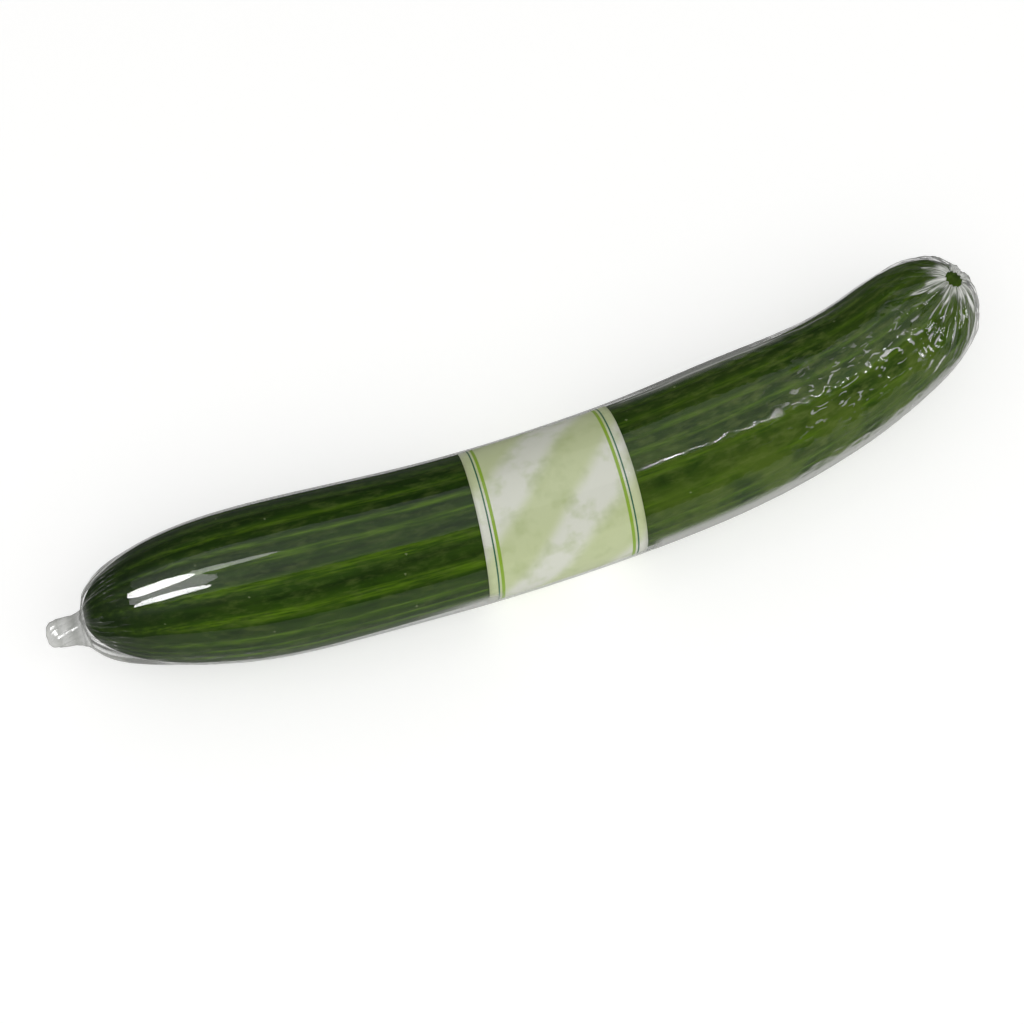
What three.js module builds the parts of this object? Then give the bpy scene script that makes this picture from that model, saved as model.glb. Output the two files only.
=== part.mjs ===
// A snake cucumber as it is sold: one long ribbed fruit, a paper band round its middle, and a
// clear shrink film over both. The film is gathered into a short tail at the stem end, and
// pleated into a ruffle round a small opening at the blossom end.
// Millimetres, +Z up. The fruit lies along X on z = 0, with its stem end towards -X.

import * as THREE from 'three';
import { mergeVertices } from 'three/addons/utils/BufferGeometryUtils.js';

const { clamp, degToRad, smoothstep } = THREE.MathUtils;

// The fruit's middle line, from the stem tip to the blossom tip.
const SPINE_POINTS = [
  [-143.5, 12.0, 23.0],
  [-109.4, 6.4, 24.0],
  [-71.9, 0.8, 24.1],
  [-11.9, -4.5, 23.4],
  [48.1, -4.9, 23.4],
  [98.1, 0.5, 22.6],
  [130.1, 8.8, 25.4],
  [152.8, 18.2, 31.2],
];

// The fruit's radius: a straight body, a slight swelling behind the stem end, a slimmer neck
// before the blossom end, and two rounded caps.
const BODY_RADIUS = 22.7;
const SWELL = 0.8;
const SWELL_PLACE = 65;
const SWELL_SPREAD = 32;
const NECK_DROP = 4.1;
const NECK_START = 198;
const NECK_END = 300;
const STEM_CAP_LENGTH = 76;
const STEM_CAP_POWER = 2.9;
const BLOSSOM_CAP_LENGTH = 33.5;
const BLOSSOM_CAP_POWER = 2.9;

// Shallow lengthwise furrows, unevenly spaced, that die out at both tips.
const FURROWS = 21;
const FURROW_DEPTH = 0.55;
const FURROW_FADE = 24;
const FURROW_SWAY = 0.07;
// Each wave of the sway is a count round the fruit and a start in radians.
const SWAY_WAVES = [
  [3, 0],
  [5, 1],
];
const STEM_SCAR_RADIUS = 3.5;
const STEM_SCAR_DEPTH = 0.8;

// Layers over the fruit, with a small gap under each.
const GAP = 0.3;
const PAPER_THICKNESS = 0.3;
const FILM_THICKNESS = 0.3;
const PAPER_INSIDE = GAP;
const PAPER_OUTSIDE = PAPER_INSIDE + PAPER_THICKNESS;
const FILM_INSIDE = PAPER_OUTSIDE + GAP;
const FILM_OUTSIDE = FILM_INSIDE + FILM_THICKNESS;

// The paper band sits a little askew on the fruit.
const BAND_MIDDLE = 148.6;
const BAND_WIDTH = 50.5;
const BAND_SKEW = degToRad(4.3);

// Where the film stands off the fruit: on the near side all along, under the stem end where it
// runs straight to the tail, across the hollow of the bend, and round the blossom end.
const NEAR_SIDE = degToRad(205);
const NEAR_SLACK = 0.4;
const TAIL_SLACK = 2.0;
const TAIL_SLACK_LENGTH = 30;
const HOLLOW_SIDE = degToRad(25);
const HOLLOW_SLACK = 0.5;
const HOLLOW_START = 165;
const HOLLOW_END = 255;
const BLOSSOM_SLACK = 0.9;

// The film lies closest on top of the neck, where it has no paper under it.
const TIGHT_SIDE = degToRad(60);
const TIGHT_SHARE = 0.55;
const TIGHT_START = 215;
const TIGHT_END = 265;

// Pleats that run into the two gathers.
const PLEATS = 12;
const PLEAT_HEIGHT = 0.5;
const BLOSSOM_PLEAT_LENGTH = 30;
const STEM_PLEAT_HEIGHT = 0.5;
const STEM_PLEAT_LENGTH = 22;

// The tail: twisted film, slightly thicker at its end. Each row is a distance from the stem tip
// and a radius.
const TAIL_ROWS = [
  [-12.6, 0],
  [-12.3, 2.4],
  [-11.0, 4.1],
  [-8.8, 4.7],
  [-6.2, 4.5],
  [-4.0, 4.3],
  [-2.3, 4.4],
  [-0.9, 4.7],
];
const TAIL_DROP = 3.4;
const TAIL_DROP_SIDE = degToRad(215);
const TAIL_LUMPS = 4;
const TAIL_LUMP_SHARE = 0.08;
const TAIL_TWIST = 0.5;

// The ruffle: the film's cap closes to a small opening that sits above the blossom tip.
// Each row is a polar angle on the cap in degrees and the film's extra height there.
const RUFFLE_ROWS = [
  [30, 0],
  [24, 0.1],
  [19, 0.3],
  [14.5, 0.5],
  [11, 0.6],
  [8.5, 0.4],
];
const GATHER_TILT = degToRad(42);

// How finely the surfaces are divided: the sides of a ring, the distance between rings on the
// body, and the polar angles of the rings on the caps, in degrees from each tip and in their
// order along the spine.
const FRUIT_SEGMENTS = 4 * FURROWS;
const WRAP_SEGMENTS = 4 * PLEATS;
const BODY_STEP = 11;
const FRUIT_STEM_ANGLES = [5, 8, 12, 18, 26, 35, 46, 58, 72];
const FRUIT_BLOSSOM_ANGLES = [75, 60, 48, 37, 27, 18, 10];
const FILM_STEM_ANGLES = [8, 13, 20, 28, 38, 50, 66];
const FILM_BLOSSOM_ANGLES = [76, 62, 50, 39];
const BAND_RING_SHARES = [-0.5, -0.25, 0, 0.25, 0.5];
const MERGE_DISTANCE = 1e-3;

const spine = new THREE.CatmullRomCurve3(
  SPINE_POINTS.map((point) => new THREE.Vector3(...point)),
  false,
  'catmullrom',
  0.5,
);
spine.arcLengthDivisions = 1000;
const spineLength = spine.getLength();
const blossomCapStart = spineLength - BLOSSOM_CAP_LENGTH;
const blossomCapMiddle = spineLength - BLOSSOM_CAP_LENGTH / 2;

// Share of the full radius at a fraction of a cap: 0 at its tip, 1 where the body starts.
function capShare(fraction, power) {
  const left = 1 - clamp(fraction, 0, 1);
  return Math.sqrt(1 - left ** power);
}

// Radius of the surface that lies the given height outside the smooth fruit.
function surfaceRadius(along, height) {
  const swell = SWELL * Math.exp(-(((along - SWELL_PLACE) / SWELL_SPREAD) ** 2));
  const neck = NECK_DROP * smoothstep(along, NECK_START, NECK_END);
  const stem = (along + height) / (STEM_CAP_LENGTH + height);
  const blossom = (spineLength + height - along) / (BLOSSOM_CAP_LENGTH + height);
  const body = BODY_RADIUS + swell - neck + height;
  return body * capShare(stem, STEM_CAP_POWER) * capShare(blossom, BLOSSOM_CAP_POWER);
}

// A point beside the spine, at an angle that starts towards +Y and turns upwards. It stays above
// a floor level, where the weight of the fruit presses its layer flat.
function besideSpine(along, radius, angle, floorLevel) {
  const share = clamp(along / spineLength, 0, 1);
  const ahead = spine.getTangentAt(share);
  const side = new THREE.Vector3(0, 0, 1).cross(ahead).normalize();
  const up = ahead.clone().cross(side);
  const point = spine
    .getPointAt(share)
    .addScaledVector(ahead, along - share * spineLength)
    .addScaledVector(side, radius * Math.cos(angle))
    .addScaledVector(up, radius * Math.sin(angle));
  point.z = Math.max(point.z, floorLevel);
  return point;
}

// At a tip a ring shrinks to one point, so half of the triangles there have no area and are dropped.
function trianglesWithArea(corners) {
  const kept = [];
  for (let first = 0; first < corners.length; first += 3) {
    const [a, b, c] = corners.slice(first, first + 3);
    if (a !== b && b !== c && c !== a) kept.push(a, b, c);
  }
  return kept;
}

// A closed body from the rows of a profile, turned round the spine. A row holds its distance
// along the spine and its radius; place(row, angle) gives the final point of each vertex.
function turnedBody(rows, segments, place) {
  const profile = rows.map((row) => new THREE.Vector2(row.radius, row.along));
  const geometry = new THREE.LatheGeometry(profile, segments);
  const position = geometry.getAttribute('position');
  for (let index = 0; index < position.count; index += 1) {
    const row = rows[index % rows.length];
    const segment = Math.floor(index / rows.length) % segments;
    const point = place(row, (2 * Math.PI * segment) / segments);
    position.setXYZ(index, point.x, point.y, point.z);
  }
  geometry.deleteAttribute('normal');
  geometry.deleteAttribute('uv');
  const body = mergeVertices(geometry, MERGE_DISTANCE);
  body.setIndex(trianglesWithArea(body.getIndex().array));
  body.computeVertexNormals();
  return body;
}

// Distances along the spine from start to end, about BODY_STEP apart.
function bodyStations(start, end) {
  const count = Math.round((end - start) / BODY_STEP);
  return Array.from({ length: count + 1 }, (_, i) => start + ((end - start) * i) / count);
}

// Distances along a cap whose polar angles are given, from its tip at 0 degrees.
const stemCapStations = (angles) =>
  angles.map((angle) => STEM_CAP_LENGTH * (1 - Math.cos(degToRad(angle))));
const blossomCapStations = (angles) =>
  angles.map((angle) => blossomCapStart + BLOSSOM_CAP_LENGTH * Math.cos(degToRad(angle)));

// Turn of a furrow away from even spacing, so that the ribs differ in width.
function furrowSway(angle) {
  const waves = SWAY_WAVES.map(([count, start]) => Math.sin(count * angle + start));
  return FURROW_SWAY * waves.reduce((sum, wave) => sum + wave);
}

function cucumber() {
  const stations = [
    ...stemCapStations(FRUIT_STEM_ANGLES),
    ...bodyStations(STEM_CAP_LENGTH, blossomCapStart),
    ...blossomCapStations(FRUIT_BLOSSOM_ANGLES),
  ];
  const onAxis = (along) => ({ along, radius: 0 });
  const rows = [
    onAxis(STEM_SCAR_DEPTH),
    { along: STEM_SCAR_DEPTH / 2, radius: STEM_SCAR_RADIUS / 2 },
    ...stations.map((along) => ({ along, radius: surfaceRadius(along, 0) })),
    onAxis(spineLength),
  ];
  const fade = (along) =>
    smoothstep(along, 0, FURROW_FADE) * smoothstep(spineLength - along, 0, FURROW_FADE);
  // Every fourth vertex of a ring lies at the bottom of a furrow.
  return turnedBody(rows, FRUIT_SEGMENTS, (row, angle) => {
    const furrow = (0.5 + 0.5 * Math.cos(FURROWS * angle)) ** 2;
    const depthShare = (FURROW_DEPTH / BODY_RADIUS) * furrow * fade(row.along);
    const radius = row.radius * (1 - depthShare);
    return besideSpine(row.along, radius, angle + furrowSway(angle), FILM_OUTSIDE);
  });
}

function paperBand() {
  const wall = (height) =>
    BAND_RING_SHARES.map((share) => {
      const along = BAND_MIDDLE + share * BAND_WIDTH;
      return { along, height, radius: surfaceRadius(along, height) };
    });
  const rows = [...wall(PAPER_OUTSIDE), ...wall(PAPER_INSIDE).reverse()];
  rows.push(rows[0]);
  return turnedBody(rows, WRAP_SEGMENTS, (row, angle) => {
    const skewed = row.along + row.radius * Math.cos(angle) * Math.tan(BAND_SKEW);
    return besideSpine(skewed, row.radius, angle, FILM_OUTSIDE - row.height);
  });
}

// How directly an angle faces a side: 1 towards it, 0 from a quarter turn away on.
const facing = (angle, side) => Math.max(0, Math.cos(angle - side)) ** 2;

// A smooth hump over a stretch of the spine.
function hump(along, start, end) {
  const share = clamp((along - start) / (end - start), 0, 1);
  return Math.sin(Math.PI * share) ** 2;
}

// Height of the film above or below its usual layer.
function filmSlack(along, angle) {
  const near = NEAR_SLACK * hump(along, 0, NECK_END);
  const tail = TAIL_SLACK * (1 - smoothstep(along, 0, TAIL_SLACK_LENGTH));
  const hollow = HOLLOW_SLACK * hump(along, HOLLOW_START, HOLLOW_END);
  const blossom = BLOSSOM_SLACK * smoothstep(along, blossomCapMiddle, spineLength);
  const tight = TIGHT_SHARE * FILM_INSIDE * smoothstep(along, TIGHT_START, TIGHT_END);
  const loose = (near + tail) * facing(angle, NEAR_SIDE) + hollow * facing(angle, HOLLOW_SIDE);
  return loose + blossom - tight * facing(angle, TIGHT_SIDE);
}

// Pleats stand outwards only, so they never press into the fruit.
function pleatHeight(along, angle) {
  const towardsBlossom = smoothstep(along, spineLength - BLOSSOM_PLEAT_LENGTH, spineLength);
  const towardsStem = 1 - smoothstep(along, 0, STEM_PLEAT_LENGTH);
  const height = PLEAT_HEIGHT * towardsBlossom + STEM_PLEAT_HEIGHT * towardsStem;
  return height * (0.5 + 0.5 * Math.cos(PLEATS * angle));
}

// The film's gather lies above the blossom tip, so places on the cap slide upwards, by the whole
// tilt at the tip and not at all where the cap starts.
function slideToGather(along, angle) {
  if (along <= blossomCapStart) return { along, angle };
  const axial = Math.min((along - blossomCapStart) / BLOSSOM_CAP_LENGTH, 1);
  const across = Math.sqrt(1 - axial ** 2);
  const side = across * Math.cos(angle);
  const up = across * Math.sin(angle);
  const tilt = GATHER_TILT * smoothstep(axial, 0, 1);
  const axialTilted = axial * Math.cos(tilt) - up * Math.sin(tilt);
  const upTilted = axial * Math.sin(tilt) + up * Math.cos(tilt);
  return {
    along: blossomCapStart + BLOSSOM_CAP_LENGTH * axialTilted,
    angle: Math.atan2(upTilted, side),
  };
}

// The blossom cap of a surface outside the fruit is longer by that surface's height.
function onGrownCap(along, height) {
  const axial = Math.max(0, (along - blossomCapStart) / BLOSSOM_CAP_LENGTH);
  return along + height * axial;
}

// The lumpy tail leaves the tip a little below the fruit's middle line, on the near side.
function inTail(row, angle) {
  const lumps = 1 + TAIL_LUMP_SHARE * Math.cos(TAIL_LUMPS * angle + TAIL_TWIST * row.along);
  const middle = besideSpine(row.along, 0, 0, 0);
  const lowered = besideSpine(row.along, TAIL_DROP, TAIL_DROP_SIDE, 0);
  return besideSpine(row.along, row.radius * lumps, angle, 0).add(lowered).sub(middle);
}

function filmWrap() {
  const tail = TAIL_ROWS.map(([along, radius]) => ({ along, radius, inTail: true }));
  const stations = [
    ...stemCapStations(FILM_STEM_ANGLES),
    ...bodyStations(STEM_CAP_LENGTH, blossomCapStart),
    ...blossomCapStations(FILM_BLOSSOM_ANGLES),
  ];
  const ruffle = blossomCapStations(RUFFLE_ROWS.map(([angle]) => angle));
  const wall = (layer) =>
    [...stations, ...ruffle].map((along, index) => {
      const raised = index < stations.length ? 0 : RUFFLE_ROWS[index - stations.length][1];
      return { along, layer, raised, radius: surfaceRadius(along, layer) };
    });
  const closedEnd = { along: -FILM_INSIDE, radius: 0, onAxis: true };
  const rows = [...tail, ...wall(FILM_OUTSIDE), ...wall(FILM_INSIDE).reverse(), closedEnd];
  // Half a segment of turn puts a flat facet underneath, where the wrapped fruit rests.
  const halfSegment = Math.PI / WRAP_SEGMENTS;
  return turnedBody(rows, WRAP_SEGMENTS, (row, segmentAngle) => {
    const angle = segmentAngle + halfSegment;
    if (row.inTail) return inTail(row, angle);
    if (row.onAxis) return besideSpine(row.along, 0, angle, 0);
    const place = slideToGather(row.along, angle);
    const slack = filmSlack(place.along, place.angle) + pleatHeight(row.along, angle);
    const height = row.layer + row.raised + slack;
    const along = onGrownCap(place.along, height);
    return besideSpine(along, surfaceRadius(along, height), place.angle, FILM_OUTSIDE - row.layer);
  });
}

function named(name, geometry, finish) {
  const mesh = new THREE.Mesh(geometry, new THREE.MeshStandardMaterial(finish));
  mesh.name = name;
  return mesh;
}

const wrappedCucumber = new THREE.Group();
wrappedCucumber.add(
  named('cucumber', cucumber(), { color: 0x35501c, roughness: 0.45, metalness: 0 }),
  named('paper_band', paperBand(), { color: 0xc4c8b4, roughness: 0.6, metalness: 0 }),
  named('film_wrap', filmWrap(), {
    color: 0xe4e6e0,
    roughness: 0.1,
    metalness: 0,
    transparent: true,
    opacity: 0.25,
  }),
);

export default wrappedCucumber;
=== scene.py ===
# %% [markdown]
# # A snake cucumber as the shop sells it
#
# The object has three pieces: the fruit, a strip of printed paper glued round its middle, and a
# clear film that was shrunk over both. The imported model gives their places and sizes. This lesson
# makes a finer piece for each of them, gives it a surface, and lights it like a studio picture.

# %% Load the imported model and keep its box
import math

import bmesh
import bpy
import numpy as np
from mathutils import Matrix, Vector, noise


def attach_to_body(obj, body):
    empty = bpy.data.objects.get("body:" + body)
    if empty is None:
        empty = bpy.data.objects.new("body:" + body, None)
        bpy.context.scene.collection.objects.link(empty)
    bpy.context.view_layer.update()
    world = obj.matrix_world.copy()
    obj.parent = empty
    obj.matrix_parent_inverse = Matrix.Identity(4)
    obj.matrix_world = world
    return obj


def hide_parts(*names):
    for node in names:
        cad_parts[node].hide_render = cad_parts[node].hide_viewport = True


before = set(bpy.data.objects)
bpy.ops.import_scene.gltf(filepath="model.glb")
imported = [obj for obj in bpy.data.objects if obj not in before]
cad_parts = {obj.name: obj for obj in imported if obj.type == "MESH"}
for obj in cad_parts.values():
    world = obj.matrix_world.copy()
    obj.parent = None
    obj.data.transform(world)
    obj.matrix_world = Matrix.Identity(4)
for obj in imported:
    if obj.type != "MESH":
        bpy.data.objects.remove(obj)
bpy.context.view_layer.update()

MM = 0.001

# %% [markdown]
# ## The line that everything follows
#
# The fruit is gently bent, so every piece is worked out round one middle line. A curve object
# with a bevel could make a bent tube, but its thickness is hard to control. Here the line is
# sampled as points, and any place on the object is then a distance along it, a radius and an
# angle round it. All of these are in millimetres until a mesh is written.

# %% The middle line, from the stem tip to the blossom tip
SPINE_POINTS = np.array([
    (-143.5, 12.0, 23.0),
    (-109.4, 6.4, 24.0),
    (-71.9, 0.8, 24.1),
    (-11.9, -4.5, 23.4),
    (48.1, -4.9, 23.4),
    (98.1, 0.5, 22.6),
    (130.1, 8.8, 25.4),
    (152.8, 18.2, 31.2),
])
STEPS_PER_SPAN = 300


def smooth_line(points):
    """Points along a smooth line through the given ones, with mirrored neighbours past its ends."""
    padded = np.vstack([2 * points[0] - points[1], points, 2 * points[-1] - points[-2]])
    share = np.linspace(0, 1, STEPS_PER_SPAN, endpoint=False)[:, None]
    spans = []
    for before, start, end, after in zip(padded, padded[1:], padded[2:], padded[3:]):
        leave = (end - before) / 2
        arrive = (after - start) / 2
        squared = 3 * (end - start) - 2 * leave - arrive
        cubed = 2 * (start - end) + leave + arrive
        spans.append(start + leave * share + squared * share**2 + cubed * share**3)
    return np.vstack(spans + [points[-1:]])


line = smooth_line(SPINE_POINTS)
line_steps = np.linalg.norm(np.diff(line, axis=0), axis=1)
line_along = np.concatenate([[0], np.cumsum(line_steps)])
line_ahead = np.gradient(line, line_along, axis=0)
LENGTH = line_along[-1]
print(f"middle line: {LENGTH:.1f} mm")


# %% A place beside the line
def unit(vectors):
    return vectors / np.linalg.norm(vectors, axis=-1, keepdims=True)


def beside_spine(along, radius, angle, floor_level):
    """Points at an angle that starts towards +Y and turns upwards, none lower than a floor level."""
    held = np.clip(along, 0, LENGTH)
    middle = np.stack([np.interp(held, line_along, line[:, axis]) for axis in range(3)], axis=-1)
    ahead = unit(
        np.stack([np.interp(held, line_along, line_ahead[:, axis]) for axis in range(3)], axis=-1)
    )
    side = unit(np.cross((0.0, 0.0, 1.0), ahead))
    up = np.cross(ahead, side)
    points = middle + ahead * (along - held)[:, None]
    points += side * (radius * np.cos(angle))[:, None] + up * (radius * np.sin(angle))[:, None]
    points[:, 2] = np.maximum(points[:, 2], floor_level)
    return points


# %% [markdown]
# ## How thick the fruit is
#
# A snake cucumber is nearly a cylinder. It swells a little behind the stem, thins to a neck
# before the blossom end, and closes in two round caps. One formula gives the radius of any layer
# that lies a given height above the smooth skin, so that paper and film follow the same form.

# %% Radius of the fruit and of the layers over it
BODY_RADIUS = 22.7
SWELL, SWELL_PLACE, SWELL_SPREAD = 0.8, 65.0, 32.0
NECK_DROP, NECK_START, NECK_END = 4.1, 198.0, 300.0
STEM_CAP, BLOSSOM_CAP = 76.0, 33.5
CAP_POWER = 2.9
FILM_INSIDE, FILM_OUTSIDE = 0.9, 1.2
BLOSSOM_CAP_START = LENGTH - BLOSSOM_CAP


def smooth_step(value, start, end):
    share = np.clip((value - start) / (end - start), 0, 1)
    return share * share * (3 - 2 * share)


def cap_share(fraction):
    left = 1 - np.clip(fraction, 0, 1)
    return np.sqrt(1 - left**CAP_POWER)


def layer_radius(along, height):
    swell = SWELL * np.exp(-(((along - SWELL_PLACE) / SWELL_SPREAD) ** 2))
    neck = NECK_DROP * smooth_step(along, NECK_START, NECK_END)
    stem = cap_share((along + height) / (STEM_CAP + height))
    blossom = cap_share((LENGTH + height - along) / (BLOSSOM_CAP + height))
    return (BODY_RADIUS + swell - neck + height) * stem * blossom


print(f"radius in the middle: {layer_radius(np.array(LENGTH / 2), 0):.1f} mm")

# %% [markdown]
# ## From a grid to a long body
#
# Fruit and film are both closed bodies with two tips. A UV sphere has such tips, but the operator
# is slow with many rings. So a flat grid is rolled up: one direction runs along the line, the
# other runs round it, and the first and last rows shrink to a point. Where the edges meet, the
# doubled vertices are merged, which closes the seam and the tips.

# %% Helpers for rolled grids, noise and finished pieces
def flat_grid(name, rows, steps):
    """A grid's mesh, with each vertex's row number and its share of the way across the rows."""
    bm = bmesh.new()
    bmesh.ops.create_grid(bm, x_segments=rows - 1, y_segments=steps, size=0.5)
    mesh = bpy.data.meshes.new(name)
    bm.to_mesh(mesh)
    bm.free()
    corners = np.zeros(len(mesh.vertices) * 3, np.float32)
    mesh.vertices.foreach_get("co", corners)
    x, y, _ = corners.reshape(-1, 3).T.astype(float)
    return mesh, np.rint((x + 0.5) * (rows - 1)).astype(int), y + 0.5


def noise_at(points):
    return np.array([noise.noise(Vector(point)) for point in points])


def attach(mesh, name, values):
    """Stores one number or one vector for each vertex, for the material to read."""
    kind, field = ("FLOAT", "value") if values.ndim == 1 else ("FLOAT_VECTOR", "vector")
    layer = mesh.attributes.new(name, kind, "POINT")
    layer.data.foreach_set(field, values.astype(np.float32).ravel())


def finished_piece(mesh, points, node):
    """Writes the points in metres and makes the piece that stands for a node of the model."""
    mesh.vertices.foreach_set("co", (points * MM).astype(np.float32).ravel())
    bm = bmesh.new()
    bm.from_mesh(mesh)
    bmesh.ops.remove_doubles(bm, verts=bm.verts, dist=0.0001 * MM)
    bmesh.ops.recalc_face_normals(bm, faces=bm.faces)
    open_edges = sum(edge.is_boundary for edge in bm.edges)
    bm.to_mesh(mesh)
    bm.free()
    mesh.shade_smooth()
    piece = bpy.data.objects.new(mesh.name, mesh)
    bpy.context.scene.collection.objects.link(piece)
    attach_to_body(piece, "root")
    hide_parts(node)
    mesh.calc_loop_triangles()
    print(piece.name, len(mesh.loop_triangles), "triangles,", open_edges, "open edges")
    return piece


def round_line(along, radius, angle):
    """The same place on a straightened body, where a pattern can run along the fruit."""
    return np.stack([along, radius * np.cos(angle), radius * np.sin(angle)], axis=-1)


# %% [markdown]
# ## The fruit's relief
#
# The skin has shallow furrows along its length, unevenly spaced, with flat ribs between them. It
# is never quite even, and here and there it has a small wart. All three are real shapes that the
# light catches at the edge of the fruit, so they are moved vertices and not only a bump map.

# %% Furrows, unevenness and warts
FURROWS, FURROW_DEPTH, FURROW_FADE = 21, 0.55, 24.0
FURROW_SWAY = 0.07
LIFT, LIFT_BLOSSOM = 0.3, 0.75
LIFT_BACK, BACK_SIDE = 0.3, math.radians(23)
BACK_LOSS, BACK_LOSS_START, BACK_LOSS_END = 0.4, 120.0, 190.0
LIFT_NEAR, NEAR_SIDE = 0.5, math.radians(205)
NEAR_FADE_START, NEAR_FADE_END = 90.0, 140.0
SCAR_RADIUS, SCAR_DEPTH = 3.5, 0.8
LUMP_HEIGHT, LUMP_LENGTH, LUMP_WIDTH = 0.14, 34.0, 9.0
WARTS, WART_HEIGHT, WART_RADIUS, WART_SEED = 150, 0.15, 0.7, 7
WARTS_START, WARTS_END = 14.0, LENGTH - 10
PRESSED_START, PRESSED_END, PRESSED_POWER = 117.0, 180.0, 0.25


def facing(angle, side):
    return np.maximum(0, np.cos(angle - side)) ** 2


def hump(along, start, end):
    return np.sin(np.pi * np.clip((along - start) / (end - start), 0, 1)) ** 2


def body_share(along):
    """1 on the body, falling to 0 at both tips."""
    return smooth_step(along, 0, FURROW_FADE) * smooth_step(LENGTH - along, 0, FURROW_FADE)


def fruit_lift(along, angle):
    """How far the grown skin stands above the smooth form: it fills the film, most at the back."""
    back = LIFT_BACK * facing(angle, BACK_SIDE)
    back *= 1 - BACK_LOSS * smooth_step(along, BACK_LOSS_START, BACK_LOSS_END)
    near = LIFT_NEAR * facing(angle, NEAR_SIDE)
    near *= 1 - smooth_step(along, NEAR_FADE_START, NEAR_FADE_END)
    blossom = LIFT_BLOSSOM * smooth_step(along, BLOSSOM_CAP_START, LENGTH)
    return LIFT + (back + near) * body_share(along) + blossom


def furrow_at(angle):
    return (0.5 + 0.5 * np.cos(FURROWS * angle)) ** 2


def swayed(angle):
    """Angles moved by two slow waves, so that the furrows are unevenly spaced."""
    return angle + FURROW_SWAY * (np.sin(3 * angle) + np.sin(5 * angle + 1))


def wart_mask(along, angle):
    """1 on the middle of a wart, falling to 0 at its foot."""
    draw = np.random.default_rng(WART_SEED)
    mask = np.zeros_like(along)
    for spot_along, spot_angle in draw.uniform((WARTS_START, -np.pi), (WARTS_END, np.pi), (WARTS, 2)):
        near = np.flatnonzero(np.abs(along - spot_along) < 3 * WART_RADIUS)
        across = np.angle(np.exp(1j * (angle[near] - spot_angle))) * BODY_RADIUS
        squared = (along[near] - spot_along) ** 2 + across**2
        mask[near] = np.maximum(mask[near], np.exp(-squared / WART_RADIUS**2))
    return mask


# %% [markdown]
# ## The fruit's mesh
#
# The fruit grew as one closed body. It could be sculpted, but a formula for each ring keeps it
# the same each time. The rings sit close together near the tips, where the form turns quickly, and
# further apart on the straight body. Sixteen sides to each furrow make its slopes smooth.

# %% Place the fruit's rings
FRUIT_SEGMENTS = 16 * FURROWS
STEM_TIP = STEM_CAP / 6


def stem_stations(first, last, count):
    polar = np.radians(np.linspace(first, last, count))
    return STEM_CAP * (1 - np.cos(polar))


def blossom_stations(first, last, count):
    polar = np.radians(np.linspace(first, last, count))
    return BLOSSOM_CAP_START + BLOSSOM_CAP * np.cos(polar)


fruit_stations = np.concatenate([
    [0.0],
    stem_stations(1.0, 88.5, 84),
    np.linspace(STEM_CAP, BLOSSOM_CAP_START, 118),
    blossom_stations(88, 2, 54),
    [LENGTH],
])
fruit_mesh, row, turn = flat_grid("fruit", len(fruit_stations), FRUIT_SEGMENTS)
fruit_angle = 2 * np.pi * turn
fruit_along = fruit_stations[row]
fruit_turn = swayed(fruit_angle)
fade = body_share(fruit_along)
lift = fruit_lift(fruit_along, fruit_turn)
ahead_share = np.maximum(0, (fruit_along - BLOSSOM_CAP_START) / BLOSSOM_CAP)
behind_share = 1 - smooth_step(fruit_along, 0, STEM_TIP)
fruit_placed = fruit_along + lift * (ahead_share - behind_share)
smooth_radius = layer_radius(fruit_placed, lift)
straight = round_line(fruit_along, smooth_radius, fruit_turn)
lumps = LUMP_HEIGHT * noise_at(straight / (LUMP_LENGTH, LUMP_WIDTH, LUMP_WIDTH))
warts = wart_mask(fruit_along, fruit_turn)
groove = FURROW_DEPTH * furrow_at(fruit_angle) * smooth_radius / BODY_RADIUS
unpressed = 1 - hump(fruit_along, PRESSED_START, PRESSED_END) ** PRESSED_POWER
fruit_radius = smooth_radius + ((lumps + WART_HEIGHT * warts) * unpressed - groove) * fade
scar = SCAR_DEPTH * (1 - smooth_step(smooth_radius, 0, SCAR_RADIUS)) * (fruit_along < STEM_CAP)
fruit_points = beside_spine(fruit_placed + scar, fruit_radius, fruit_turn, FILM_OUTSIDE - lift)
attach(fruit_mesh, "straight", straight)
attach(fruit_mesh, "furrow", furrow_at(fruit_angle))
attach(fruit_mesh, "wart", warts * fade)
fruit = finished_piece(fruit_mesh, fruit_points, "cucumber")

# %% [markdown]
# ## The paper band
#
# The band is a strip of coated paper, wrapped once round the fruit and glued where its end laps
# over its start. A tube would hide that, so the strip is a grid that is rolled up, a little
# further than one turn, with the end lying on the start. Then it gets the thickness of paper.

# %% Roll up the strip
BAND_MIDDLE, BAND_WIDTH, BAND_SKEW = 148.6, 50.5, math.radians(4.3)
PAPER_THICKNESS, PAPER_HEIGHT, LAP_RISE = 0.12, 0.08, 0.16
PAPER_SLACK = 0.5
LAP_LENGTH, LAP_SLOPE, LAP_ANGLE = 9.0, 6.0, math.radians(-62)
BAND_ROWS, BAND_STEPS = 24, 320
strip_length = 2 * np.pi * (BODY_RADIUS + PAPER_HEIGHT) + LAP_LENGTH

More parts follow.
